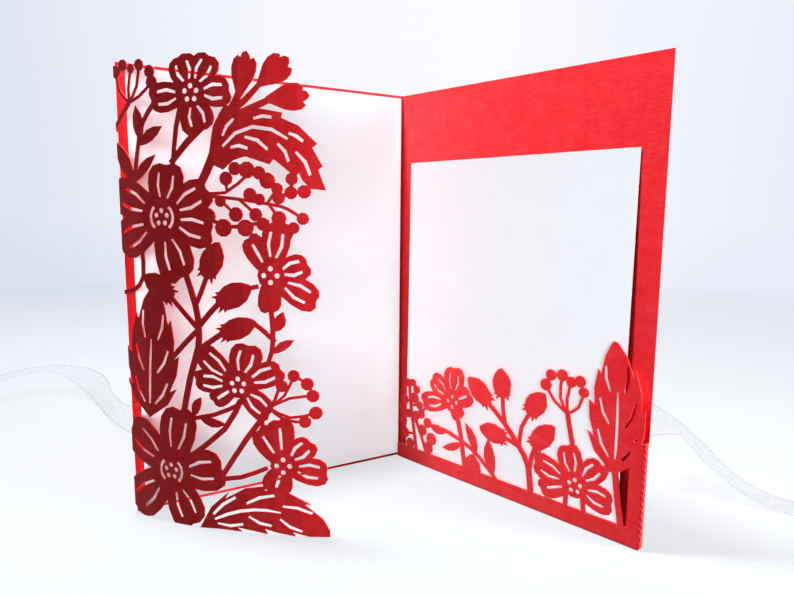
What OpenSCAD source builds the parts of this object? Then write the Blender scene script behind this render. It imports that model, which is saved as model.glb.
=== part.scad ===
// Laser-cut greeting card that stands open: one folded sheet with a lace gate flap and a lace pocket,
// a paper liner on the left panel, a plain insert card in the pocket and a sheer ribbon round the back.
// Millimetres. The origin is the foot of the spine, +Z is up and the card opens towards -Y.

/* [Card] */
// Height of the card
card_h = 178; // [150:1:210]
// Width of each panel
panel_w = 127; // [110:1:150]
// Thickness of the card stock
card_t = 0.4; // [0.3:0.05:0.6]
// Radius of every fold, at the middle of the sheet
fold_r = 0.6; // [0.5:0.1:1]
// Swing of the left panel from straight ahead
left_swing = 59.5; // [45:0.5:75]
// Swing of the right panel from straight ahead
right_swing = 45; // [40:0.5:75]

/* [Lace flap] */
// Length of the flap from its fold to its free edge, along the sheet
flap_w = 84.5; // [70:0.5:95]
// Angle between the flap and the left panel at their fold
flap_angle = 57; // [45:1:80]
// Radius of the flap's curl
curl_r = 173; // [140:1:260]
// Paper burnt away along each cut edge
kerf = 0.05; // [0.02:0.01:0.1]

/* [Pocket] */
// Distance from the right panel to the pocket's front, sheet middle to sheet middle
pocket_depth = 2.8; // [2.4:0.1:4]
// Height of the tallest leaf of the pocket
pocket_h = 76; // [60:1:100]
// Height of the plain band along the pocket's foot
band_h = 7.5; // [5:0.5:12]
// Width of the plain strip at the pocket's folded side
side_w = 5.5; // [4:0.5:8]
// Height of the pocket's folded side
side_h = 41; // [25:1:60]
// Space between the spine and the pocket's open side
pocket_gap = 1.5; // [1:0.5:4]
// Length of one slot in the pocket's perforated fold
slot_len = 1.2; // [0.6:0.1:1.6]
// Distance from one slot to the next
slot_pitch = 2.6; // [2:0.1:4]

/* [Liner] */
// Thickness of the liner paper
liner_t = 0.12; // [0.08:0.01:0.2]
// Red margin above and below the liner
liner_edge_gap = 1.2; // [0.5:0.1:4]
// Red margin between the liner and the spine
liner_spine_gap = 1.2; // [1:0.1:4]
// Red margin between the liner and the flap's fold
liner_fold_gap = 4.5; // [2:0.5:8]

/* [Insert] */
// Width of the insert card
insert_w = 111; // [90:1:116]
// Height of the insert card
insert_h = 146; // [110:1:165]
// Thickness of the insert card
insert_t = 0.3; // [0.2:0.05:0.5]
// Distance from the spine to the insert card
insert_from_spine = 6.5; // [4:0.5:9]
// Play between the insert card and what it rests on
insert_play = 0.05; // [0.02:0.01:0.2]

/* [Ribbon] */
// Width of the ribbon
ribbon_w = 15; // [10:1:20]
// Thickness of the ribbon
ribbon_t = 0.2; // [0.15:0.05:0.6]
// Height of the ribbon's lower edge where it is glued to the card
ribbon_z = 29; // [20:1:60]
// Distance from the spine to the end of the glued run on the left panel
ribbon_left = 98; // [60:1:105]
// Distance from the spine to the end of the glued run on the right panel
ribbon_right = 92; // [60:1:105]

/* [Hidden] */
red = "#c8141f";
white = "#f4f4f8";
sheer_white = "#e6ecec";

// Directions in plan: along each panel, and the angle of each panel's outward side
left_angle = 270 - left_swing;
right_angle = 270 + right_swing;
left_out = left_angle - 90;
right_out = right_angle + 90 - 360;

// Spine fold: the sheet turns through this angle round a centre inside the opening
spine_turn = left_out - right_out;
spine_centre = dir((left_angle + right_angle) / 2) * fold_r / cos(spine_turn / 2);

// Flap fold at the outer edge of the left panel
flap_turn = 180 - flap_angle;
flap_set_back = fold_r * tan(flap_turn / 2);
left_end = panel_w - flap_set_back;
flap_centre = dir(left_angle) * left_end - dir(left_out) * fold_r;
flap_out = left_out + flap_turn;
flap_root = flap_centre + dir(flap_out) * fold_r;
curl_centre = flap_root - dir(flap_out) * curl_r;
curl_turn = flap_w / curl_r * 180 / PI;
chord = 2 * curl_r * sin(curl_turn / 2);
chord_angle = flap_out + 90 + curl_turn / 2;
fold_steps = 6;
curl_steps = 8;
flap_courses = 6;
pocket_courses = 3;

// Depth of the cut that follows the flap's curl, and how far a fold's leg laps onto its sheet
cut_depth = 30;
lap = 1;
pocket_foot = fold_r + card_t / 2;
pocket_right = panel_w - pocket_foot;

// Lean of the insert card: its foot stands clear of the pocket's front fold and its head on the panel
insert_run = pocket_depth - fold_r - card_t / 2 - insert_t - 2 * insert_play;
insert_lean = asin(insert_run / insert_h);

// Motif sizes shared by the flap and the pocket
flap_field = [84.5, 178];
pocket_field = [127, 76];
heart_r = 5;
dot_r = 1;
dot_ring = 2.5;
ring_r = 5;
slit_w = 0.55;
slit_bow = 0.8;
rib_w = 0.6;
berry_sides = 10;
heart_sides = 10;
dot_sides = 6;

// Unit vector at an angle
function dir(a) = [cos(a), sin(a)];

// Unit vector to the left of a direction
function left_of(v) = [-v[1], v[0]] / norm(v);

// Arc of points round a centre
function arc(c, r, from, to, n) = [for (i = [0:n]) c + r * dir(from + (to - from) * i / n)];

// Sides of a petal's middle line that carry a slit
function slit_sides(n) = n == 2 ? [-1, 1] : n == 1 ? [0] : [];

// A list turned end for end
function reversed(list) = [for (i = [len(list) - 1:-1:0]) list[i]];

// Point of a smooth line between its second and third neighbour
function between(p, q, r, s, u) =
    q + (r - p) * u / 2 + (2 * p - 5 * q + 4 * r - s) * u * u / 2 + (3 * q - p - 3 * r + s) * u * u * u / 2;

// Smooth open line through a few points
function open_curve(pts, n) = let (m = len(pts) - 1)
    concat([for (i = [0:m - 1], k = [0:n - 1])
        between(pts[max(i - 1, 0)], pts[i], pts[i + 1], pts[min(i + 2, m)], k / n)], [pts[m]]);

// Heading of a line at one of its points
function heading(path, i) = path[min(i + 1, len(path) - 1)] - path[max(i - 1, 0)];

// Outline of a strip along a line, with a half width for each of its points
function strip(path, widths) = concat(
    [for (i = [0:len(path) - 1]) path[i] + left_of(heading(path, i)) * widths[i]],
    [for (i = [len(path) - 1:-1:0]) path[i] - left_of(heading(path, i)) * widths[i]]);

// Point on a bent midrib from base a, pulled towards b, to tip c
function rib_point(a, b, c, u) = (1 - u) * (1 - u) * a + 2 * u * (1 - u) * b + u * u * c;

// Direction across a bent midrib
function rib_side(a, b, c, u) = left_of((1 - u) * (b - a) + u * (c - b));

// Half width of a leaf along its midrib, from 0 at the base to 0 at the tip, widest where swell puts it
function leaf_width(w, u, swell) = w * pow(sin(180 * pow(u, swell)), 0.7);

// One edge of a toothed leaf: each tooth swells from a notch to a point that leans to the tip
function toothed_edge(a, b, c, w, teeth, swell) = [for (i = [0:teeth - 1], k = [0:2])
    let (u = (i + [0, 0.55, 1.15][k]) / teeth, v = min(u, 0.985))
    rib_point(a, b, c, v) + rib_side(a, b, c, v) * leaf_width(w, v, swell) * [0.84, 0.98, 1.08][k]];

// Outline of a plain leaf with a bent body
function leaf_outline(a, b, w, bend) =
    let (mid = (a + b) / 2, side = left_of(b - a))
    concat([for (i = [0:4]) rib_point(a, mid + side * 2 * (bend + w), b, i / 4)],
        [for (i = [3:-1:1]) rib_point(a, mid + side * 2 * (bend - w), b, i / 4)]);

// Outlines on a unit length and half width, drawn once and stretched to each petal or bud
petal_form = [[0, 0.4], [0.34, 0.82], [0.56, 0.98], [0.75, 0.98], [0.89, 0.78], [0.955, 0.42],
    [0.945, 0.04],
    [1, -0.36], [0.955, -0.74], [0.8, -0.98], [0.58, -0.98], [0.34, -0.82], [0, -0.4]];
bud_form = [[0, 0.28], [0.16, 0.76], [0.36, 0.98], [0.58, 0.96], [0.8, 0.66], [0.95, 0.26],
    [1, -0.08], [0.88, -0.46], [0.72, -0.84], [0.48, -1], [0.2, -0.83], [0, -0.28]];
tulip_form = [[0, 0.2], [0.2, 0.52], [0.4, 0.86], [0.6, 1], [0.78, 0.92], [0.88, 0.62], [0.85, 0.4],
    [0.95, 0.3], [1, 0], [0.93, -0.28], [0.84, -0.42], [0.9, -0.68], [0.78, -0.95], [0.6, -1],
    [0.4, -0.84], [0.2, -0.5], [0, -0.2]];
slit_form = [[0, 0, -0.75], [0.5, 1, -1.1], [1, 0, -0.9], [1, 0, 0.9], [0.5, 1, 1.1], [0, 0, 0.75]];
sepal_form = [[0.04, 0.4], [-0.08, 0.9], [0.1, 0.76], [0.08, 1.1], [0.3, 0.86]];
function stretched(form, l, w) = [for (f = form) [f[0] * l, f[1] * w]];

// Flap lace. Flowers are a centre, the petals as [angle, length, half width, slits], the dots and the rings
flap_flowers = [
    [[34.5, 164.5], [[108, 14, 6, 2], [56, 15.5, 5.5, 2], [1, 16, 5.5, 2], [-76, 14.5, 7, 2],
        [185, 18, 5.5, 2]], 5, 0],
    [[20, 120.5], [[80, 20.5, 8, 2], [27, 23.5, 6.5, 2], [-15, 23, 7, 2], [-72, 25, 8.5, 2],
        [207, 25, 8, 2], [156, 25, 7.5, 2]], 5, 1],
    [[63.5, 100], [[120, 16.5, 4.5, 1], [80, 20, 5.5, 2], [17, 15, 5, 2], [-30, 20, 5.5, 2],
        [-93, 14, 4.5, 0]], 4, 0],
    [[50, 58.5], [[141, 20.8, 5.2, 2], [73, 17, 6.5, 2], [22, 19, 5, 2], [-42, 17, 5, 2],
        [176, 18.5, 4.5, 2], [213, 13, 4, 1]], 5, 0],
    [[19.5, 21.5], [[78, 27.5, 8.5, 2], [141, 26, 8.5, 2], [8, 24.5, 8.5, 2], [222, 28, 9, 2],
        [-66, 24, 8.5, 2]], 5, 1],
    [[67, 28], [[124, 17.5, 5, 1], [94, 19, 5.5, 1], [42, 15, 5, 2], [-10, 17.5, 5.5, 2],
        [-108, 11.5, 6, 1]], 4, 0]];

// Plain leaves are a base, a tip, a half width and a bend
flap_leaves = [
    [[11.8, 148], [10, 161.5], 2.6, 0], [[10.5, 146.5], [22, 153.5], 2.3, 0.5],
    [[8, 133], [18.5, 143.5], 2, 0.8], [[7.8, 133], [-1, 149], 3, 0],
    [[64, 79], [68, 87], 2.4, -0.6], [[63.5, 71], [72, 76.5], 1.8, 0.4],
    [[31, 44.5], [34.5, 53], 2, 0.6], [[33, 45], [45, 43], 1.9, -0.8]];

// Toothed leaves are a base, a point that bends the midrib, a tip, both half widths, the teeth on an edge
// and how far up the leaf swells
flap_toothed = [
    [[10, 42], [11, 66], [15, 95], [11.5, 13], 4, 0.8],
    [[32, 0], [60, 20.5], [85.5, -1], [9.5, 9], 4, 1]];

// Arched leaf near the flap's head: its outline, then the slits as a start, an end and a bow
arched_leaf = [[42, 139.5], [42, 147], [46, 153.5], [53, 157.5], [61, 158.6], [68.8, 157.2],
    [68.4, 155.4], [74.5, 152.8],
    [81, 146.6], [79.2, 145.2], [82.8, 138.8], [81.2, 137.6], [84, 130.4], [78.5, 131], [75.6, 133.8],
    [74.4, 136.4], [73, 135], [69.5, 138], [65.4, 141.2], [64, 139.4], [60, 140.6], [55, 142.2],
    [50.5, 140.8], [46.5, 137.6]];
arched_slits = [
    [[46.6, 149.5], [51, 155.2], 0.6], [[58.4, 155.2], [65, 155.6], 0.6], [[55, 149], [63.4, 144.6], 1.1],
    [[49.6, 145.4], [56, 145], 0.8], [[67, 146.6], [70.8, 140.4], 0.8], [[71, 150.2], [76, 147.4], 0.4],
    [[73.4, 143.8], [78.4, 135.8], 0.9]];
arched_rib = [[46.6, 145.8], [51.5, 150.2], [58, 152.4], [65, 151.4], [70.6, 148.2]];

// Buds and tulips are a base, a tip and a half width
flap_buds = [
    [[38, 98.5], [44, 112], 4.8], [[42.5, 89], [56.5, 96], 4.8],
    [[43.5, 77.5], [58, 83], 4.2], [[24, 90.5], [10, 98.5], 4.8]];
flap_tulips = [
    [[53.3, 162.6], [56.5, 178], 4.6], [[60.5, 166.5], [71.5, 175.5], 5], [[63, 161.5],
    [78.5, 163], 4.8]];

// Berries are a place and a radius
flap_berries = [
    [1, 174, 2.4], [4.6, 176, 2.3], [8.5, 174.5, 1.8], [12.5, 175.5, 2.2], [17.2, 172.9, 2.4],
    [18, 169, 2.6],
    [47.5, 134.5, 2.6], [51, 138, 2.5], [55.5, 137.5, 3.1], [60, 136.5, 2.5], [63, 133.8, 3],
    [66.5, 131, 2.2],
    [67, 127.8, 2.4], [71.5, 129.6, 2.4], [71.8, 134.4, 2.3], [76.2, 130, 2.5],
    [45, 126.5, 2.2], [56.5, 128.8, 2.6], [60, 127.2, 2.2], [51, 121.8, 2.8], [46, 117, 3.4],
    [54.5, 117, 3.2],
    [58.5, 121.8, 2.5], [40, 121, 3.2], [61, 118.5, 2.5], [67, 120.5, 2.8], [72.3, 117.2, 2.2],
    [75.6, 120.5, 2.3],
    [67, 59, 2.4], [71.5, 63, 2.4], [76.5, 60, 2.5], [78.5, 55.5, 2.5], [79.5, 49, 2.6],
    [75.5, 45.5, 2.4]];

// Stems are a half width at each end and the points of a smooth line
flap_stems = [
    [0.9, 0.9, [[7, 162.5], [3, 158], [-2, 152]]],
    [0.6, 0.6, [[7, 162.5], [2.5, 167], [1, 174]]], [0.6, 0.6, [[7, 162.5], [7, 168], [8.5, 174.5]]],
    [0.6, 0.6, [[7, 162.5], [11, 168], [12.5, 175.5]]], [0.6, 0.6, [[7, 162.5], [12, 164.5], [18, 169]]],
    [1.1, 0.9, [[31, 162], [28, 153], [26, 140]]], [1.4, 1.2, [[39, 153], [32, 147], [25, 140]]],
    [0.9, 1, [[7, 126], [8, 134], [10, 145], [13, 155], [19, 162]]],
    [2.4, 1.6, [[50, 159], [45, 152], [43, 143], [37, 132]]],
    [1.6, 1.3, [[48, 157], [51, 159.5], [53.8, 165]]], [1.4, 0.9, [[48, 156], [55.5, 161.5], [62, 168]]],
    [1.6, 1.1, [[47, 154.5], [56, 158], [65, 161.8]]],
    [0.7, 0.7, [[67, 128], [72, 129.6], [76.5, 130]]], [0.7, 0.7, [[71.6, 130], [71.8, 134]]],
    [0.8, 0.8, [[40, 121], [46.5, 117.5], [55, 118], [63.5, 119.5]]],
    [0.7, 0.6, [[36, 129.5], [47, 129.5], [56, 136]]], [0.6, 0.6, [[48, 129.5], [47, 135]]],
    [0.7, 0.6, [[36, 128.5], [50, 127.5], [64, 125.5], [70, 124], [75.5, 120.5]]],
    [0.6, 0.6, [[44, 128], [51, 121.5]]], [0.6, 0.6, [[52, 127.5], [58.5, 122]]],
    [0.6, 0.6, [[63.5, 125.5], [67, 120.5]]], [0.6, 0.6, [[63, 126], [67, 131.5]]],
    [1.3, 1.4, [[30, 99], [33.5, 88], [34.5, 80], [34, 72], [30, 60], [26, 44]]],
    [1.1, 1.1, [[34.5, 79], [29, 74], [20, 65]]], [1, 1, [[33.5, 88], [36, 93], [39, 100]]],
    [1.2, 1.1, [[34.5, 80], [39, 85], [44, 90]]], [1.2, 1.1, [[34, 71], [39, 74.5], [45, 78.5]]],
    [1.1, 1, [[34.5, 79], [29, 84.5], [22, 91.5]]], [0.9, 0.9, [[54, 95], [59, 96]]],
    [1, 0.9, [[55, 83.5], [60, 80], [65, 75.5]]],
    [1, 0.9, [[63.5, 88], [64, 80], [63.5, 72], [60, 62]]],
    [1, 0.9, [[10, 108], [10, 98], [5, 92.5], [-3, 91]]],
    [1.2, 1.1, [[51, 53], [44, 41], [28, 28]]], [0.9, 0.9, [[27, 43.5], [40, 46.5], [50, 51]]],
    [0.7, 0.6, [[62, 50.5], [64.5, 54], [66, 59]]], [0.6, 0.6, [[62, 50.5], [68, 55.5], [71.5, 63]]],
    [0.6, 0.6, [[62, 50.5], [70, 54.5], [78.5, 55.5]]], [0.6, 0.6, [[62, 50.5], [70, 47], [79.5, 49]]],
    [0.6, 0.6, [[62, 50.5], [68, 46], [75.5, 45.5]]], [0.6, 0.6, [[71.5, 63], [76.5, 60], [78.5, 55.5]]],
    [1.2, 1.1, [[60, 47], [53, 38], [43, 23]]], [1, 0.9, [[40, 21], [50, 22.5], [61, 27]]],
    [1, 0.9, [[62, 50], [59, 46], [60, 42]]], [0.8, 0.8, [[72, 118], [71, 114], [66, 112]]]];

// Pocket lace, in the same kinds of list
pocket_flowers = [
    [[36.5, 36.5], [[192, 19.5, 5, 2], [143, 16, 5, 2], [86, 17, 6, 2], [28, 12.5, 5, 1],
    [-55, 9, 4, 0]], 4, 0],
    [[100, 16.5], [[165, 20, 5.5, 2], [104, 17, 5.5, 2], [48, 17, 5, 2], [-10, 16.5, 5.5, 2],
        [201, 17, 4.5, 1]], 5, 0]];
pocket_leaves = [
    [[34, 21], [22.5, 22], 2.2, 0.6], [[43, 18.5], [31, 13], 2, 0.9], [[51.5, 14.8],
    [44.5, 28.5], 2.3, -0.8],
    [[61, 8], [57.5, 24.5], 3, 0.8]];
pocket_toothed = [[[115.5, 26], [117, 52], [113.3, 77], [11.3, 11.3], 4, 0.72]];
pocket_buds = [
    [[58, 40.5], [45.5, 50], 4.8], [[64.5, 44.5], [63, 57.5], 4.8], [[67, 27], [52.5, 28.5], 4.4],
    [[77.5, 40.5], [85, 51], 4.8], [[80, 27], [90, 38.5], 4.6], [[49, 2], [49, 15], 5]];
pocket_tulips = [];
pocket_berries = [
    [85.3, 54.8, 2.6], [87.5, 59.2, 2.4], [92.5, 60, 2.5], [96.5, 58, 2.3], [100.3, 59, 2.4],
    [102, 55, 2.2],
    [8, 40, 2.2], [11.5, 40.5, 2], [14, 37.5, 2.2], [12.5, 33, 2.8], [16, 30, 2.2], [6, 31, 2.6],
    [4.5, 27, 2.6], [9, 24.5, 2.3], [14, 24.5, 2.4], [17.2, 25.9, 2.3], [21.5, 22.5, 2.6], [5, 20, 2.7],
    [18, 18, 2.9], [24, 15, 3.2], [6.5, 14, 2.8], [22, 10, 3], [10, 9.4, 2.6]];
pocket_stems = [
    [1.2, 1.1, [[39, 32], [42, 22], [45.5, 2]]],
    [1.5, 1, [[80.5, 2], [78.5, 18], [73, 26], [66, 33.5], [56, 41.5]]],
    [0.9, 0.9, [[66.5, 33], [65, 39], [64.5, 46.5]]], [1, 1, [[74, 25], [70, 26.5], [65, 27.2]]],
    [0.9, 0.9, [[73.8, 25.5], [74.5, 34], [79, 42]]], [1, 0.9, [[79, 16], [80, 23], [82, 29]]],
    [1, 1.1, [[95.5, 45], [97.5, 36], [101, 24]]],
    [0.6, 0.6, [[95.5, 45], [89.5, 49], [85.3, 54.8]]], [0.6, 0.6, [[95.5, 45], [92, 51], [92.5, 60]]],
    [0.6, 0.6, [[95.5, 45], [95, 51], [96.5, 58]]], [0.6, 0.6, [[95.5, 45], [100, 48.5], [102, 55]]],
    [0.8, 0.8, [[86, 56], [87.5, 59]]], [0.8, 0.8, [[97, 58], [101, 59]]], [0.6, 0.6, [[88, 59.4],
    [92, 60]]],
    [0.9, 0.9, [[31, 22], [42, 19.5], [53, 14.5], [67, 3]]],
    [0.8, 0.9, [[9, 40], [10.5, 27], [13, 14], [15, 2]]], [0.8, 0.8, [[23, 2], [17, 16], [12, 25]]],
    [0.6, 0.6, [[10, 31], [6, 31]]], [0.6, 0.6, [[11, 24], [4.5, 21]]], [0.6, 0.6, [[13, 15], [6, 14]]],
    [0.6, 0.6, [[10.5, 29], [16, 30]]], [0.7, 0.7, [[16, 26], [19, 28.5], [22, 31]]],
    [1.2, 1.3, [[115.8, 30], [117.5, 18], [120.5, 2]]], [1.4, 1.4, [[108, 24], [112, 27], [116, 30]]],
    [1, 1, [[96.5, 13], [96, 2]]], [1, 1, [[103.5, 13], [105, 2]]]];

// Ribbon tails: steps from the end of the glued run, lift of the lower edge, and roll from upright
left_tail = [
    [-203, 56, 0, 90], [-200, 70, 0, 90], [-196, 87, 2.5, 90], [-190, 105, 7, 90], [-181, 124, 12, 90],
    [-169, 142, 15.5, 90], [-155, 153, 16, 88], [-139, 155, 12, 75], [-123, 147, 6, 55],
    [-108, 131, 1.5, 33],
    [-90, 104, 0.4, 14], [-70, 74, 4, 4], [-53, 50, 9, 0], [-37, 26, 16, 0], [-24, 7, 22, 0],
    [-17, 0, 25, 0], [-9, -2.4, 27.5, 0]];
right_tail = [
    [11, -4.5, 29, 0], [20, 0, 29, 0], [31, 9, 28, 3], [42, 20, 27, 14], [52, 28.5, 26, 38],
    [60, 31.5, 25, 66],
    [69, 29, 19, 82], [77, 23.5, 11.5, 90], [86, 17.5, 4.5, 90], [95, 12, 1, 90], [106, 5.5, 0, 90],
    [120, -2.5, 0, 90]];
spine_wraps = 4;

// Places a panel's own frame: +X along the panel from the spine, +Y across the sheet
module at_left() {
    rotate(left_angle) children();
}

module at_right() {
    rotate(right_angle) children();
}

// Stands a flat drawing up in the XZ plane, with its thickness centred on Y
module stood_up(t) {
    translate([0, t / 2, 0]) rotate([90, 0, 0]) linear_extrude(t) children();
}

// Turns a drawing of a base and a tip onto its place
module placed(base, tip) {
    step = tip - base;
    translate(base) rotate(atan2(step[1], step[0])) children();
}

// Slit from a to b as a slim lens, bowed to the left of its way
module slit(a, b, w, bow) {
    side = left_of(b - a);
    polygon([for (p = slit_form) a + (b - a) * p[0] + side * (p[1] * bow + p[2] * w)]);
}

module flower(centre, petals) {
    translate(centre) {
        circle(r = heart_r, $fn = heart_sides);
        for (p = petals) rotate(p[0]) polygon(stretched(petal_form, p[1], p[2]));
    }
}

// Two slits in each petal, a ring of dots at the heart and, on a large flower, two arcs round it
module flower_cuts(centre, petals, dots, ringed) {
    start = ringed ? 0.36 : 0.34;
    translate(centre) {
        for (p = petals, side = slit_sides(p[3])) rotate(p[0])
            slit([start * p[1], side * 0.2 * p[2]], [0.78 * p[1], side * 0.4 * p[2]],
                slit_w, side * slit_bow);
        for (i = [0:dots - 1]) rotate(90 + i * 360 / dots)
            translate([dot_ring, 0]) circle(r = dot_r, $fn = dot_sides);
        if (ringed) for (from = [-50, 130])
            polygon(strip(arc([0, 0], ring_r, from, from + 100, 8), [for (i = [0:8]) rib_w]));
    }
}

module toothed_leaf(a, b, c, w, teeth, swell) {
    edge = toothed_edge(a, b, c, w[0], teeth, swell);
    other = toothed_edge(a, b, c, -w[1], teeth, swell);
    polygon(concat(edge, [c], reversed(other)));
}

// Midrib slit and slanted vein slits of a toothed leaf
module toothed_leaf_cuts(a, b, c, w, teeth, swell) {
    rib = [for (u = [0.12:0.1:0.62]) rib_point(a, b, c, u)];
    polygon(strip(rib, rib_w * [0.7, 1, 1, 1, 0.9, 0.5]));
    for (side = [1, -1], i = [0:teeth - 2]) {
        half = side > 0 ? w[0] : w[1];
        u = (i + 0.5) / teeth;
        v = u + 0.75 / teeth;
        near = leaf_width(half, u, swell) * 0.18 + 2 * slit_w;
        far = leaf_width(half, v, swell) * 0.68;
        slit(rib_point(a, b, c, u) + rib_side(a, b, c, u) * side * near,
            rib_point(a, b, c, v) + rib_side(a, b, c, v) * side * far, slit_w, side * slit_bow);
    }
}

// Egg-shaped bud with two ragged sepals at its foot
module bud(base, tip, w) {
    l = norm(tip - base);
    placed(base, tip) {
        polygon(stretched(bud_form, l, w));
        for (side = [-1, 1]) polygon(stretched(sepal_form, l, side * w * 0.8));
    }
}

module tulip(base, tip, w) {
    placed(base, tip) polygon(stretched(tulip_form, norm(tip - base), w));
}

module stem(w0, w1, points) {
    path = open_curve(points, len(points) > 2 ? 2 : 1);
    last = len(path) - 1;
    polygon(strip(path, [for (i = [0:last]) w0 + (w1 - w0) * i / last]));
}

// All the motifs of one lace, with the cuts taken through them
module motifs(flowers, leaves, toothed, buds, tulips, berries, stems) {
    difference() {
        union() {
            for (f = flowers) flower(f[0], f[1]);
            for (l = leaves) polygon(leaf_outline(l[0], l[1], l[2], l[3]));
            for (t = toothed) toothed_leaf(t[0], t[1], t[2], t[3], t[4], t[5]);
            for (b = buds) bud(b[0], b[1], b[2]);
            for (t = tulips) tulip(t[0], t[1], t[2]);
            for (b = berries) translate([b[0], b[1]]) circle(r = b[2], $fn = berry_sides);
            for (s = stems) stem(s[0], s[1], s[2]);
        }
        for (f = flowers) flower_cuts(f[0], f[1], f[2], f[3]);
        for (t = toothed) toothed_leaf_cuts(t[0], t[1], t[2], t[3], t[4], t[5]);
    }
}

// Cuts a drawing out of the sheet between two corners, less the kerf along every inner edge.
// It is cut in courses that meet edge to edge
module cut_out(low, high, courses) {
    course = [high[0] - low[0], (high[1] - low[1]) / courses];
    for (i = [0:courses - 1])
        offset(delta = -kerf) intersection() {
            translate(low + [-kerf, i * course[1] - kerf]) square(course + 2 * [kerf, kerf]);
            children();
        }
}

module flap_lace() {
    cut_out([-cut_depth, 0], [chord + cut_depth, card_h], flap_courses)
        scale([chord / flap_field[0], card_h / flap_field[1]]) difference() {
            union() {
                motifs(flap_flowers, flap_leaves, flap_toothed, flap_buds, flap_tulips,
                    flap_berries, flap_stems);
                polygon(arched_leaf);
            }
            for (s = arched_slits) slit(s[0], s[1], slit_w, s[2]);
            polygon(strip(arched_rib, rib_w * [0.7, 1, 1, 1, 0.6]));
        }
}

module pocket_lace() {
    cut_out([pocket_gap, pocket_foot], [pocket_right, pocket_h + lap], pocket_courses) {
        square([panel_w, band_h]);
        translate([panel_w - side_w, 0]) square([side_w, side_h]);
        scale([panel_w / pocket_field[0], pocket_h / pocket_field[1]])
            motifs(pocket_flowers, pocket_leaves, pocket_toothed, pocket_buds, pocket_tulips,
                pocket_berries, pocket_stems);
    }
}

// Both panels and the spine fold as one bent strip
module panels() {
    outer = concat([dir(left_angle) * left_end + dir(left_out) * card_t / 2],
        arc(spine_centre, fold_r + card_t / 2, left_out, right_out, fold_steps),
        [dir(right_angle) * panel_w + dir(right_out) * card_t / 2]);
    inner = concat([dir(left_angle) * left_end - dir(left_out) * card_t / 2],
        arc(spine_centre, fold_r - card_t / 2, left_out, right_out, fold_steps),
        [dir(right_angle) * panel_w - dir(right_out) * card_t / 2]);
    linear_extrude(card_h) polygon(concat(outer, reversed(inner)));
}

// One face of the flap in plan: round the fold and then along the curl
function flap_face(shift) = concat(
    arc(flap_centre, fold_r + shift, left_out, flap_out, fold_steps),
    [for (i = [1:curl_steps]) curl_centre + (curl_r + shift) * dir(flap_out + curl_turn * i / curl_steps)]);

// The curled flap, cut through along the normal of its chord
module flap() {
    intersection() {
        linear_extrude(card_h) polygon(concat(flap_face(card_t / 2), reversed(flap_face(-card_t / 2))));
        translate(flap_root) rotate(chord_angle) stood_up(cut_depth) flap_lace();
    }
}

// Section of a gusset with a fold at each side, as an open U whose legs lap onto the sheets
module gusset_section() {
    low = [fold_r, fold_r];
    high = [pocket_depth - fold_r, fold_r];
    top = fold_r + lap;
    half = card_t / 2;
    outer = concat([[-half, top]], arc(low, fold_r + half, 180, 270, fold_steps),
        arc(high, fold_r + half, 270, 360, fold_steps), [[pocket_depth + half, top]]);
    inner = concat([[half, top]], arc(low, fold_r - half, 180, 270, fold_steps),
        arc(high, fold_r - half, 270, 360, fold_steps), [[pocket_depth - half, top]]);
    polygon(concat(outer, reversed(inner)));
}

// Folds along the pocket's foot and its outer side, with the corner between them left open
module gussets() {
    at_right() {
        translate([pocket_gap, 0, card_t / 2]) rotate([90, 0, 90]) mirror([1, 0, 0])
            linear_extrude(pocket_right - pocket_gap) gusset_section();
        translate([panel_w - card_t / 2, 0, pocket_foot]) rotate(90) mirror([1, 0, 0])
            linear_extrude(side_h - pocket_foot) gusset_section();
    }
}

// What the folds take from the right panel: its foot, and its outer edge as high as the pocket's side
module gusset_room() {
    at_right() {
        translate([pocket_gap, -card_t, -card_t]) cube([panel_w, 2 * card_t, pocket_foot + card_t]);
        translate([pocket_right, -card_t, -card_t]) cube([panel_w, 2 * card_t, side_h + card_t]);
    }
}

// Slots of the perforated fold between the pocket's side and its front
module perforation() {
    count = floor((side_h - pocket_foot - 2 * slot_pitch) / slot_pitch);
    at_right() for (i = [0:count])
        translate([pocket_right + fold_r / 2, -pocket_depth - card_t, pocket_foot + slot_pitch * (i + 1)])
            cube([panel_w, card_t + fold_r, slot_len]);
}

module folded_card() {
    color(red) difference() {
        union() {
            difference() {
                panels();
                gusset_room();
            }
            flap();
            gussets();
            at_right() translate([0, -pocket_depth, 0]) stood_up(card_t) pocket_lace();
        }
        perforation();
    }
}

module liner_sheet() {
    color(white) at_left() translate([liner_spine_gap, card_t / 2, liner_edge_gap])
        cube([panel_w - liner_spine_gap - liner_fold_gap, liner_t, card_h - 2 * liner_edge_gap]);
}

module insert_card() {
    color(white) at_right()
        translate([insert_from_spine, fold_r + insert_play - pocket_depth,
                card_t + insert_play + insert_t * sin(insert_lean)])
            rotate([-insert_lean, 0, 0]) cube([insert_w, insert_t, insert_h]);
}

// Glued run of the ribbon along the outer faces and round the spine, as [x, y, lift, roll]
ribbon_off = (card_t + ribbon_t) / 2;
left_glue = dir(left_angle) * ribbon_left + dir(left_out) * ribbon_off;
right_glue = dir(right_angle) * ribbon_right + dir(right_out) * ribbon_off;
spine_run = arc(spine_centre, fold_r + ribbon_off, left_out, right_out, spine_wraps);
ribbon_route = concat(
    [for (p = left_tail) [left_glue[0] + p[0], left_glue[1] + p[1], p[2], p[3]]],
    [for (p = concat([left_glue], spine_run, [right_glue])) [p[0], p[1], ribbon_z, 0]],
    [for (p = right_tail) [right_glue[0] + p[0], right_glue[1] + p[1], p[2], p[3]]]);

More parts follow.
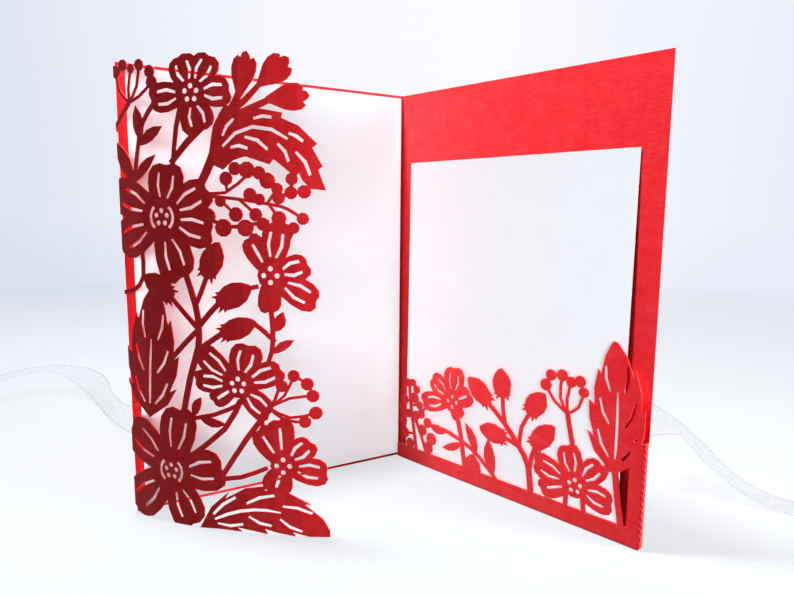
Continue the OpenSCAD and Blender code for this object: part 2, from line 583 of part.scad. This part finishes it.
// One ring of the ribbon: four corners round a point of the route
function ribbon_ring(i) =
    let (p = ribbon_route[i], roll = p[3],
        flat_route = [for (q = ribbon_route) [q[0], q[1]]],
        side = left_of(heading(flat_route, i)),
        along = [side[0] * sin(roll), side[1] * sin(roll), cos(roll)] * ribbon_w / 2,
        through = [side[0] * cos(roll), side[1] * cos(roll), -sin(roll)] * ribbon_t / 2,
        centre = [p[0], p[1], p[2] + along[2] + abs(through[2])])
    [centre - along - through, centre - along + through,
        centre + along + through, centre + along - through];

module ribbon() {
    last = len(ribbon_route) - 1;
    corners = [for (i = [0:last]) each ribbon_ring(i)];
    // Both wide faces are split along the same diagonal, so a twist keeps the thickness
    sides = [for (i = [0:last - 1], k = [0:3]) let (a = 4 * i + k, b = 4 * i + (k + 1) % 4)
        each k < 2 ? [[a, a + 4, b], [b, a + 4, b + 4]] : [[a, a + 4, b + 4], [a, b + 4, b]]];
    color(sheer_white) polyhedron(corners, concat([[0, 1, 2, 3]], sides,
        [[4 * last + 3, 4 * last + 2, 4 * last + 1, 4 * last]]));
}

folded_card();
liner_sheet();
insert_card();
ribbon();
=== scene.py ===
import math

import bpy
from mathutils import Matrix, Vector


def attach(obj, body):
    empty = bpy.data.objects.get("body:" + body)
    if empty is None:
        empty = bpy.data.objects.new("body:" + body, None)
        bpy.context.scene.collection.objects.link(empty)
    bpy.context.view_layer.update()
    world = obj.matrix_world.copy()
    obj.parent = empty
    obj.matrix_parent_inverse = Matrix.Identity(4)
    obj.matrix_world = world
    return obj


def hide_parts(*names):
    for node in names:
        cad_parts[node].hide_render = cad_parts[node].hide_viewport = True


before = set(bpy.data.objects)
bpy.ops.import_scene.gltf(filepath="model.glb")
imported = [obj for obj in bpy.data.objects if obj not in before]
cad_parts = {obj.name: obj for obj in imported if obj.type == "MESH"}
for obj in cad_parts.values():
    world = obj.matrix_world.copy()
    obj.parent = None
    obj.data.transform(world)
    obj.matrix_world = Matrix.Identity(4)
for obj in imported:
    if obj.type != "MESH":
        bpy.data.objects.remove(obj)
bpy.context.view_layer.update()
MM = 0.001

# Card, in millimetres and degrees: sheet, fold radius, each panel's heading and that of its outer face
CARD_T = 0.4
FOLD_R = 0.6
LEFT_ANGLE = 210.5
RIGHT_ANGLE = 315.0
LEFT_OUT = LEFT_ANGLE - 90
RIGHT_OUT = RIGHT_ANGLE - 270

# Ribbon: width, thickness as a plain solid and as cloth, and the glued run's height, ends and offset
RIBBON_W = 15.0
SOLID_T = 0.2
CLOTH_T = 0.16
RIBBON_Z = 29.0
RIBBON_LEFT = 98.0
RIBBON_RIGHT = 92.0
RIBBON_OFF = (CARD_T + SOLID_T) / 2

# Ribbon tails: steps from the end of the glued run, lift of the lower edge, and roll from upright
LEFT_TAIL = [
    (-203, 56, 0, 90), (-200, 70, 0, 90), (-196, 87, 2.5, 90), (-190, 105, 7, 90), (-181, 124, 12, 90),
    (-169, 142, 15.5, 90), (-155, 153, 16, 88), (-139, 155, 12, 75), (-123, 147, 6, 55),
    (-108, 131, 1.5, 33), (-90, 104, 0.4, 14), (-70, 74, 4, 4), (-53, 50, 9, 0), (-37, 26, 16, 0),
    (-24, 7, 22, 0), (-17, 0, 25, 0), (-9, -2.4, 27.5, 0),
]
RIGHT_TAIL = [
    (11, -4.5, 29, 0), (20, 0, 29, 0), (31, 9, 28, 3), (42, 20, 27, 14), (52, 28.5, 26, 38),
    (60, 31.5, 25, 66), (69, 29, 19, 82), (77, 23.5, 11.5, 90), (86, 17.5, 4.5, 90), (95, 12, 1, 90),
    (106, 5.5, 0, 90), (120, -2.5, 0, 90),
]

# Faces of the ribbon: between two points of a tail, along each panel, round the spine and across
TAIL_STEPS = 5
RUN_STEPS = 8
BEND_STEPS = 6
ACROSS_STEPS = 8

# Edges of the ribbon that turn by more than this stay sharp
SHARP_ANGLE = 50

# Organza: thread pitch, slubs along and across, and the cover of the weave, the selvedge and both at most
THREAD_PITCH = 0.34
SLUB_ALONG = 0.05
SLUB_ACROSS = 0.6
VEIL_COVER = 0.22
SELVEDGE_COVER = 0.28
FULL_COVER = 0.9

# Fibres of the red card lie along the sheet, so their pattern is drawn out level
FIBRE_STRETCH = (0.24, 0.24, 1)

# Camera of the photograph: place, lens and sensor in millimetres, tilt and roll in radians
CAM_AT = (-2.08, -303.67, 122.56)
CAM_TILT = 0.1360
CAM_ROLL = 0.0086
CAM_LENS = 27.9
CAM_SENSOR = 36.0
CAM_NEAR = 0.01

# Pale table and backdrop: white round the card, and painted shade that turns it a cool grey towards the
# far sides
TABLE_R = 9
TABLE_SIDES = 64
NEAR_WHITE = (0.955, 0.965, 0.995, 1)
NEAR_GLOW = 0.68
SIDE_SHADE_TONES = [
    (0.2, (0.70, 0.755, 0.875, 1)), (0.42, (0.94, 0.95, 0.985, 1)),
    (0.58, (0.95, 0.96, 0.99, 1)), (0.8, (0.81, 0.835, 0.945, 1)),
]

# Sockets of the Mix node that take and give colours
COLOUR_A = 6
COLOUR_B = 7
COLOUR_OUT = 2


def turned(angle):
    a = math.radians(angle)
    return Vector((math.cos(a), math.sin(a)))


def grey(level):
    return (level, level, level, 1)


def deselect():
    bpy.ops.object.select_all(action="DESELECT")


# Node helpers
def new_material(name):
    mat = bpy.data.materials.new(name)
    mat.use_nodes = True
    nodes = mat.node_tree.nodes
    return mat, nodes, mat.node_tree.links, nodes["Principled BSDF"]


def object_coords(nodes):
    return nodes.new("ShaderNodeTexCoord").outputs["Object"]


def split(nodes, links, vector):
    node = nodes.new("ShaderNodeSeparateXYZ")
    links.new(vector, node.inputs["Vector"])
    return node.outputs["X"], node.outputs["Y"]


def mapped(nodes, links, source, scale):
    node = nodes.new("ShaderNodeMapping")
    node.inputs["Scale"].default_value = scale
    links.new(source, node.inputs["Vector"])
    return node.outputs["Vector"]


def noise(nodes, links, source, scale, detail=3.0, rough=0.55):
    node = nodes.new("ShaderNodeTexNoise")
    node.inputs["Scale"].default_value = scale
    node.inputs["Detail"].default_value = detail
    node.inputs["Roughness"].default_value = rough
    links.new(source, node.inputs["Vector"])
    return node.outputs["Fac"]


def ramp(nodes, links, source, stops):
    node = nodes.new("ShaderNodeValToRGB")
    marks = node.color_ramp.elements
    marks[0].position, marks[0].color = stops[0]
    marks[1].position, marks[1].color = stops[-1]
    for place, colour in stops[1:-1]:
        marks.new(place).color = colour
    links.new(source, node.inputs["Fac"])
    return node.outputs["Color"]


def math_node(nodes, links, kind, *values):
    node = nodes.new("ShaderNodeMath")
    node.operation = kind
    for k, value in enumerate(values):
        if isinstance(value, (int, float)):
            node.inputs[k].default_value = value
        else:
            links.new(value, node.inputs[k])
    return node.outputs["Value"]


def weighted(nodes, links, first, first_share, second, second_share):
    a = math_node(nodes, links, "MULTIPLY", first, first_share)
    b = math_node(nodes, links, "MULTIPLY", second, second_share)
    return math_node(nodes, links, "ADD", a, b)


def bump(nodes, links, height, bsdf, strength, distance):
    node = nodes.new("ShaderNodeBump")
    node.inputs["Strength"].default_value = strength
    node.inputs["Distance"].default_value = distance
    links.new(height, node.inputs["Height"])
    links.new(node.outputs["Normal"], bsdf.inputs["Normal"])


def mixed_shaders(nodes, links, share, first, second):
    node = nodes.new("ShaderNodeMixShader")
    links.new(share, node.inputs["Fac"])
    links.new(first.outputs[0], node.inputs[1])
    links.new(second.outputs[0], node.inputs[2])
    return node


# Red shimmer card: fibres that run along the sheet, a faint mottle in the dye and fine pearl flecks
def red_card_material():
    mat, nodes, links, bsdf = new_material("red_shimmer_card")
    at = object_coords(nodes)
    mottle = noise(nodes, links, at, scale=160, detail=5, rough=0.65)
    along = mapped(nodes, links, at, FIBRE_STRETCH)
    streaks = noise(nodes, links, along, scale=1300, detail=4, rough=0.65)
    flecks = noise(nodes, links, at, scale=5200, detail=1)
    tone = weighted(nodes, links, mottle, 0.55, streaks, 0.45)
    dye = ramp(nodes, links, tone, [
        (0.3, (0.84, 0.009, 0.013, 1)), (0.5, (0.93, 0.020, 0.027, 1)), (0.7, (0.98, 0.044, 0.054, 1))])
    links.new(dye, bsdf.inputs["Base Color"])
    shine = weighted(nodes, links, flecks, 0.5, streaks, 0.5)
    gloss = ramp(nodes, links, shine, [(0.35, grey(0.66)), (0.65, grey(0.42))])
    links.new(gloss, bsdf.inputs["Roughness"])
    bsdf.inputs["Specular IOR Level"].default_value = 0.1
    bsdf.inputs["Specular Tint"].default_value = (1.0, 0.3, 0.33, 1)
    bsdf.inputs["Sheen Weight"].default_value = 1.0
    bsdf.inputs["Sheen Roughness"].default_value = 0.35
    bsdf.inputs["Sheen Tint"].default_value = (1.0, 0.8, 0.86, 1)
    bump(nodes, links, streaks, bsdf, strength=0.4, distance=0.00016)
    return mat


# Plain white paper: faint clouding in the sheet and a fine tooth
def paper_material(name, dark, light, tooth):
    mat, nodes, links, bsdf = new_material(name)
    at = object_coords(nodes)
    cloud = noise(nodes, links, at, scale=90, detail=4)
    grain = noise(nodes, links, at, scale=tooth, detail=4, rough=0.7)
    tone = weighted(nodes, links, cloud, 0.2, grain, 0.8)
    links.new(ramp(nodes, links, tone, [(0.3, dark), (0.7, light)]), bsdf.inputs["Base Color"])
    matt = ramp(nodes, links, grain, [(0.3, grey(0.78)), (0.7, grey(0.62))])
    links.new(matt, bsdf.inputs["Roughness"])
    bsdf.inputs["Specular IOR Level"].default_value = 0.3
    bump(nodes, links, grain, bsdf, strength=0.15, distance=0.00008)
    return mat


# A wave from 0 to 1 for each thread over a size in millimetres
def threads(nodes, links, source, size):
    angle = math_node(nodes, links, "MULTIPLY", source, size * (2 * math.pi / THREAD_PITCH))
    wave = math_node(nodes, links, "SINE", angle)
    return math_node(nodes, links, "MULTIPLY_ADD", wave, 0.5, 0.5)


# Sheer organza: crossing threads with clear gaps between them and a dense selvedge along both edges
def organza_material(length):
    mat, nodes, links, bsdf = new_material("sheer_organza")
    uv = nodes.new("ShaderNodeTexCoord").outputs["UV"]
    along, across = split(nodes, links, uv)
    warp = threads(nodes, links, across, RIBBON_W)
    weft = threads(nodes, links, along, length)
    weave = math_node(nodes, links, "MAXIMUM", warp, weft)
    from_middle = math_node(nodes, links, "ABSOLUTE", math_node(nodes, links, "SUBTRACT", across, 0.5))
    selvedge = ramp(nodes, links, from_middle, [(0.455, grey(0)), (0.47, grey(1))])
    slub_place = mapped(nodes, links, uv, (length * SLUB_ALONG, SLUB_ACROSS, 1))
    slub = noise(nodes, links, slub_place, scale=6, detail=3)
    thin = math_node(nodes, links, "MULTIPLY", slub, VEIL_COVER)
    veil = math_node(nodes, links, "MULTIPLY", weave, thin)
    edge = math_node(nodes, links, "MULTIPLY", selvedge, SELVEDGE_COVER)
    cover = math_node(nodes, links, "ADD", veil, edge)
    links.new(math_node(nodes, links, "MINIMUM", cover, FULL_COVER), bsdf.inputs["Alpha"])
    white = ramp(nodes, links, slub, [(0.3, (0.80, 0.84, 0.90, 1)), (0.7, (0.90, 0.93, 0.97, 1))])
    links.new(white, bsdf.inputs["Base Color"])
    bsdf.inputs["Roughness"].default_value = 0.5
    bsdf.inputs["Specular IOR Level"].default_value = 0.25
    bump(nodes, links, weave, bsdf, strength=0.2, distance=0.00006)
    return mat


# A smooth curve through b and c, at a share u of the way between them
def curve_value(a, b, c, d, u):
    slope = (c - a) * u / 2
    square = (2 * a - 5 * b + 4 * c - d) * u * u / 2
    cube = (3 * b - a - 3 * c + d) * u ** 3 / 2
    return b + slope + square + cube


def smoothed(points, before, after):
    line = [before] + points + [after]
    route = []
    for i in range(1, len(line) - 2):
        for k in range(TAIL_STEPS):
            u = k / TAIL_STEPS
            route.append(tuple(curve_value(*values, u) for values in zip(*line[i - 1:i + 3])))
    route.append(tuple(points[-1]))
    return route


def tail_points(start, steps):
    return [(start.x + x, start.y + y, lift, roll) for x, y, lift, roll in steps]


# The point as far past an end as the inner point lies before it
def beyond(end, inner):
    return tuple(2 * a - b for a, b in zip(end, inner))


def straight_run(start, end):
    return [start * (1 - k / RUN_STEPS) + end * (k / RUN_STEPS) for k in range(1, RUN_STEPS)]


def spine_run():
    half_turn = math.radians((LEFT_OUT - RIGHT_OUT) / 2)
    centre = turned((LEFT_ANGLE + RIGHT_ANGLE) / 2) * FOLD_R / math.cos(half_turn)
    headings = [LEFT_OUT + (RIGHT_OUT - LEFT_OUT) * k / BEND_STEPS for k in range(BEND_STEPS + 1)]
    return [centre + turned(heading) * (FOLD_R + RIBBON_OFF) for heading in headings]


# The ribbon's route from end to end, as stations of x, y, lift of the lower edge and roll from upright
def ribbon_route():
    left = turned(LEFT_ANGLE) * RIBBON_LEFT + turned(LEFT_OUT) * RIBBON_OFF
    right = turned(RIGHT_ANGLE) * RIBBON_RIGHT + turned(RIGHT_OUT) * RIBBON_OFF
    on_left = straight_run(left, turned(LEFT_OUT) * RIBBON_OFF)
    on_right = straight_run(turned(RIGHT_OUT) * RIBBON_OFF, right)
    glued = [(p.x, p.y, RIBBON_Z, 0) for p in on_left + spine_run() + on_right]
    left_tail = tail_points(left, LEFT_TAIL) + [(left.x, left.y, RIBBON_Z, 0)]
    right_tail = [(right.x, right.y, RIBBON_Z, 0)] + tail_points(right, RIGHT_TAIL)
    first = smoothed(left_tail, beyond(left_tail[0], left_tail[1]), glued[0])
    last = smoothed(right_tail, glued[-1], beyond(right_tail[-1], right_tail[-2]))
    return first + glued + last


# Distance along the route to each station
def travelled(route):
    travel = [0.0]
    for a, b in zip(route, route[1:]):
        travel.append(travel[-1] + math.dist(a[:3], b[:3]))
    return travel


# Lower edge of the ribbon at a station, and the way from there to the upper edge
def ribbon_edge(route, i):
    x, y, lift, roll = route[i]
    a, b = route[max(i - 1, 0)], route[min(i + 1, len(route) - 1)]
    way = Vector((b[0] - a[0], b[1] - a[1])).normalized()
    side = Vector((-way.y, way.x, 0))
    lean = math.radians(roll)
    to_upper = (side * math.sin(lean) + Vector((0, 0, math.cos(lean)))) * RIBBON_W
    low = Vector((x, y, max(lift, 0) + CLOTH_T)) - Vector((to_upper.x, to_upper.y, 0)) / 2
    return low, to_upper


# A flat grid laid along the route, with its length and width as the UV map, and given its thickness
def make_ribbon():
    route = ribbon_route()
    travel = travelled(route)
    last = len(route) - 1
    deselect()
    bpy.ops.mesh.primitive_grid_add(x_subdivisions=last, y_subdivisions=ACROSS_STEPS, size=1)
    band = bpy.context.object
    band.name = band.data.name = "organza_ribbon"
    uv = band.data.uv_layers[0].data
    place = {}
    for v in band.data.vertices:
        i = round((v.co.x + 0.5) * last)
        share = v.co.y + 0.5
        low, to_upper = ribbon_edge(route, i)
        place[v.index] = (travel[i] / travel[-1], share)
        v.co = (low + to_upper * share) * MM
    for loop in band.data.loops:
        uv[loop.index].uv = place[loop.vertex_index]
    thick = band.modifiers.new("cloth", "SOLIDIFY")
    thick.thickness = CLOTH_T * MM
    thick.offset = 0
    bpy.ops.object.modifier_apply(modifier=thick.name)
    bpy.ops.object.shade_smooth_by_angle(angle=math.radians(SHARP_ANGLE))
    band.data.materials.clear()
    band.data.materials.append(organza_material(travel[-1]))
    return band, travel[-1]


def make_camera():
    deselect()
    bpy.ops.object.camera_add()
    cam = bpy.context.object
    cam.data.lens = CAM_LENS
    cam.data.sensor_width = CAM_SENSOR
    cam.data.clip_start = CAM_NEAR
    ahead = Vector((0, math.cos(CAM_TILT), -math.sin(CAM_TILT)))
    level = Vector((1, 0, 0))
    upright = Vector((0, math.sin(CAM_TILT), math.cos(CAM_TILT)))
    right = level * math.cos(CAM_ROLL) + upright * math.sin(CAM_ROLL)
    up = upright * math.cos(CAM_ROLL) - level * math.sin(CAM_ROLL)
    stand = Matrix((right, up, -ahead)).transposed().to_4x4()
    stand.translation = Vector(CAM_AT) * MM
    cam.matrix_world = stand
    bpy.context.scene.camera = cam


# 1 for the rays that show the background: those from the camera, glossy ones and transmitted ones
def backdrop_rays(nodes, links):
    rays = nodes.new("ShaderNodeLightPath").outputs
    seen = math_node(nodes, links, "MAXIMUM", rays["Is Camera Ray"], rays["Is Glossy Ray"])
    return math_node(nodes, links, "MAXIMUM", seen, rays["Is Transmission Ray"])


# Colour of the backdrop in the direction of a vector, from the far left to the far right, with painted
# shade making it a cool grey towards both far sides
def side_tone(nodes, links, vector):
    unit = nodes.new("ShaderNodeVectorMath")
    unit.operation = "NORMALIZE"
    links.new(vector, unit.inputs[0])
    rightwards = split(nodes, links, unit.outputs["Vector"])[0]
    across = math_node(nodes, links, "MULTIPLY_ADD", rightwards, 0.5, 0.5)
    return ramp(nodes, links, across, SIDE_SHADE_TONES)


# What the camera sees of the table is white with the card's soft shadow, and other light sees it dim,
# so that it throws little light up on the card
def table_material():
    mat, nodes, links, dim = new_material("pale_table")
    dim.inputs["Base Color"].default_value = (0.012, 0.0125, 0.013, 1)
    dim.inputs["Roughness"].default_value = 0.7
    at = object_coords(nodes)
    shaded = nodes.new("ShaderNodeBsdfDiffuse")
    cloud = noise(nodes, links, at, scale=25)
    pale_grey = ramp(nodes, links, cloud, [(0.3, (0.215, 0.22, 0.228, 1)), (0.7, (0.23, 0.235, 0.243, 1))])
    links.new(pale_grey, shaded.inputs["Color"])
    length = nodes.new("ShaderNodeVectorMath")
    length.operation = "LENGTH"
    links.new(at, length.inputs[0])
    reach = length.outputs["Value"]
    far = ramp(nodes, links, reach, [(0.18, grey(0)), (0.85, grey(1))])
    glow_share = ramp(nodes, links, reach, [(0.25, grey(NEAR_GLOW)), (0.95, grey(1))])
    tone = nodes.new("ShaderNodeMix")
    tone.data_type = "RGBA"
    links.new(far, tone.inputs["Factor"])
    tone.inputs[COLOUR_A].default_value = NEAR_WHITE
    links.new(side_tone(nodes, links, at), tone.inputs[COLOUR_B])
    glow = nodes.new("ShaderNodeEmission")
    links.new(tone.outputs[COLOUR_OUT], glow.inputs["Color"])
    pale = mixed_shaders(nodes, links, glow_share, shaded, glow)
    seen = mixed_shaders(nodes, links, backdrop_rays(nodes, links), dim, pale)
    links.new(seen.outputs[0], nodes["Material Output"].inputs["Surface"])
    return mat


def make_table():
    deselect()
    bpy.ops.mesh.primitive_circle_add(vertices=TABLE_SIDES, radius=TABLE_R, fill_type="NGON")
    table = bpy.context.object
    table.name = "table"
    table.data.materials.append(table_material())
    return table


# A faint sky that lights the card, and the backdrop that the camera sees in its place
def make_world():
    world = bpy.data.worlds.new("studio")
    bpy.context.scene.world = world
    world.use_nodes = True
    nodes, links = world.node_tree.nodes, world.node_tree.links
    sky = nodes["Background"]
    sky.inputs["Color"].default_value = (0.93, 0.96, 1.0, 1)
    sky.inputs["Strength"].default_value = 0.07
    backdrop = nodes.new("ShaderNodeBackground")
    way = nodes.new("ShaderNodeTexCoord").outputs["Generated"]
    links.new(side_tone(nodes, links, way), backdrop.inputs["Color"])
    mix = mixed_shaders(nodes, links, backdrop_rays(nodes, links), sky, backdrop)
    links.new(mix.outputs[0], nodes["World Output"].inputs["Surface"])


def make_lamp(name, place, aim, size, watts, colour):
    deselect()
    bpy.ops.object.light_add(type="AREA", location=place)
    lamp = bpy.context.object
    lamp.name = name
    lamp.data.shape = "RECTANGLE"
    lamp.data.size, lamp.data.size_y = size
    lamp.data.energy = watts
    lamp.data.color = colour
    lamp.rotation_euler = (Vector(aim) - Vector(place)).to_track_quat("-Z", "Y").to_euler()
    lamp.visible_camera = False
    return lamp


# Gives a lamp's light to these pieces alone
def shine_on(lamp, pieces):
    lit = bpy.data.collections.new(lamp.name + "_lit")
    for piece in pieces:
        lit.objects.link(piece)
    lamp.light_linking.receiver_collection = lit


make_camera()
ribbon, ribbon_length = make_ribbon()
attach(ribbon, "root")
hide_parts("ribbon")

card, liner, insert = (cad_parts[name] for name in ("folded_card", "liner_sheet", "insert_card"))
card.material_slots[0].material = red_card_material()
liner.material_slots[0].material = paper_material(
    "liner_paper", dark=(0.89, 0.90, 0.915, 1), light=(0.93, 0.94, 0.955, 1), tooth=2600)
insert.material_slots[0].material = paper_material(
    "insert_paper", dark=(0.88, 0.89, 0.905, 1), light=(0.92, 0.93, 0.945, 1), tooth=2000)

table = make_table()
make_world()

# Two key lamps for the red card and the table, a wide fill for the papers and the ribbon,
# one from the right for the papers behind the flap, and one behind the card for all
over = make_lamp("over_opening", place=(-0.18, -0.035, 0.85), aim=(-0.18, -0.0349, 0),
                 size=(0.20, 0.07), watts=26.0, colour=(0.95, 0.985, 1.0))
side = make_lamp("right_front", place=(0.42, -0.23, 0.34), aim=(-0.04, -0.08, 0.09),
                 size=(0.12, 0.3), watts=6.2, colour=(0.93, 0.985, 1.0))
fill = make_lamp("paper_fill", place=(-0.08, -0.95, 0.2), aim=(-0.01, -0.05, 0.09),
                 size=(0.9, 0.36), watts=9.9, colour=(0.91, 0.965, 1.0))
gap = make_lamp("behind_flap", place=(0.75, -0.45, 0.28), aim=(-0.08, -0.05, 0.09),
                size=(0.25, 0.3), watts=3.5, colour=(0.56, 0.98, 1.0))
make_lamp("behind", place=(0.0, 0.75, 0.6), aim=(0.0, 0.0, 0.08),
          size=(1.0, 0.5), watts=7.2, colour=(0.97, 0.985, 1.0))
shine_on(over, (card, table))
shine_on(side, (card, table))
shine_on(fill, (liner, insert, ribbon))
shine_on(gap, (liner, insert))

bpy.context.scene.view_settings.view_transform = "Standard"
